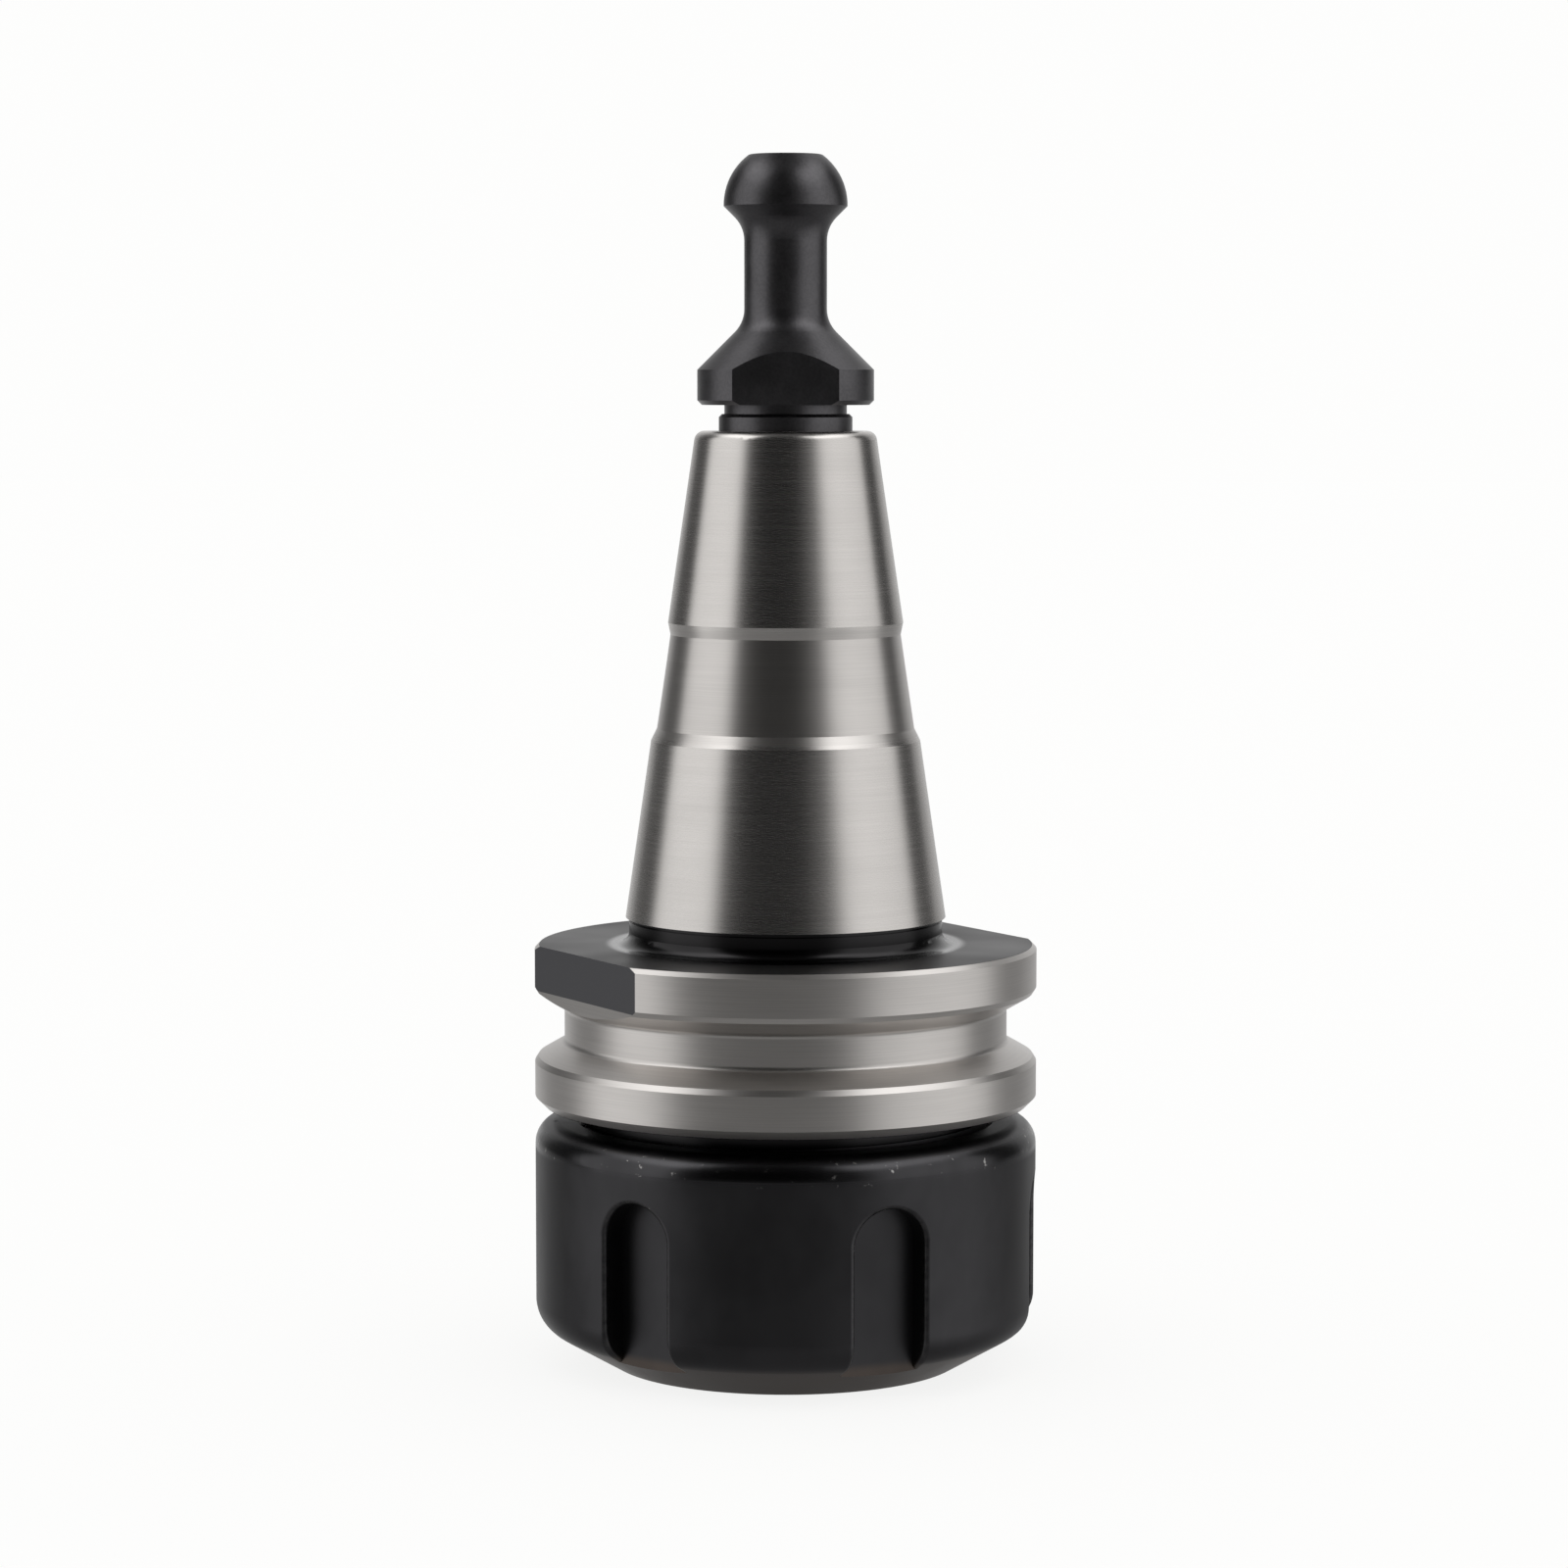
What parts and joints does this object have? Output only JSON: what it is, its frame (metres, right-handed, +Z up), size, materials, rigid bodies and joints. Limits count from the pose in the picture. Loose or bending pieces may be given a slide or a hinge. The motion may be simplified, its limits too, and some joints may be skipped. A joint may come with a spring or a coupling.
{
  "type": "collet chuck holder",
  "caption": "Steep-taper tool holder with a V-grooved gripper flange, a ball-headed pull stud, a spring collet and a slotted clamping nut that screws up to close the collet on a tool shank.",
  "frame": {"origin": "centre of the clamping nut's front face, on which the holder stands", "axes": "+Z up the spindle axis towards the pull stud; +X through the middle of one wrench slot of the nut"},
  "size_m": [0.05, 0.05, 0.1199],
  "materials": {
    "ground_steel": "ground on the taper and turned on the flange rims, black oxide on the neck and the flange faces",
    "stud_black_oxide": "black oxide on turned steel, satin to gloss",
    "nut_black_oxide": "black oxide on ground steel, gloss",
    "collet_steel": "ground spring steel"
  },
  "bodies": {
    "holder": {"holder_body": "ground_steel", "pull_stud": "stud_black_oxide"},
    "collet": {"collet": "collet_steel"},
    "nut": {"clamping_nut": "nut_black_oxide"}
  },
  "joints": [
    {"name": "collet_slide", "type": "slide", "parent": "holder", "child": "collet", "axis": [0, 0, -1], "range_m": [0, 0.012]},
    {"name": "nut_turn", "type": "hinge", "parent": "collet", "child": "nut", "pos_m": [0, 0, 0], "axis": [0, 0, -1], "range_deg": [0, 2880]}
  ],
  "couplings": [
    {"joint": "collet_slide", "follows": "nut_turn", "m_per_rad": 0.00023873}
  ]
}
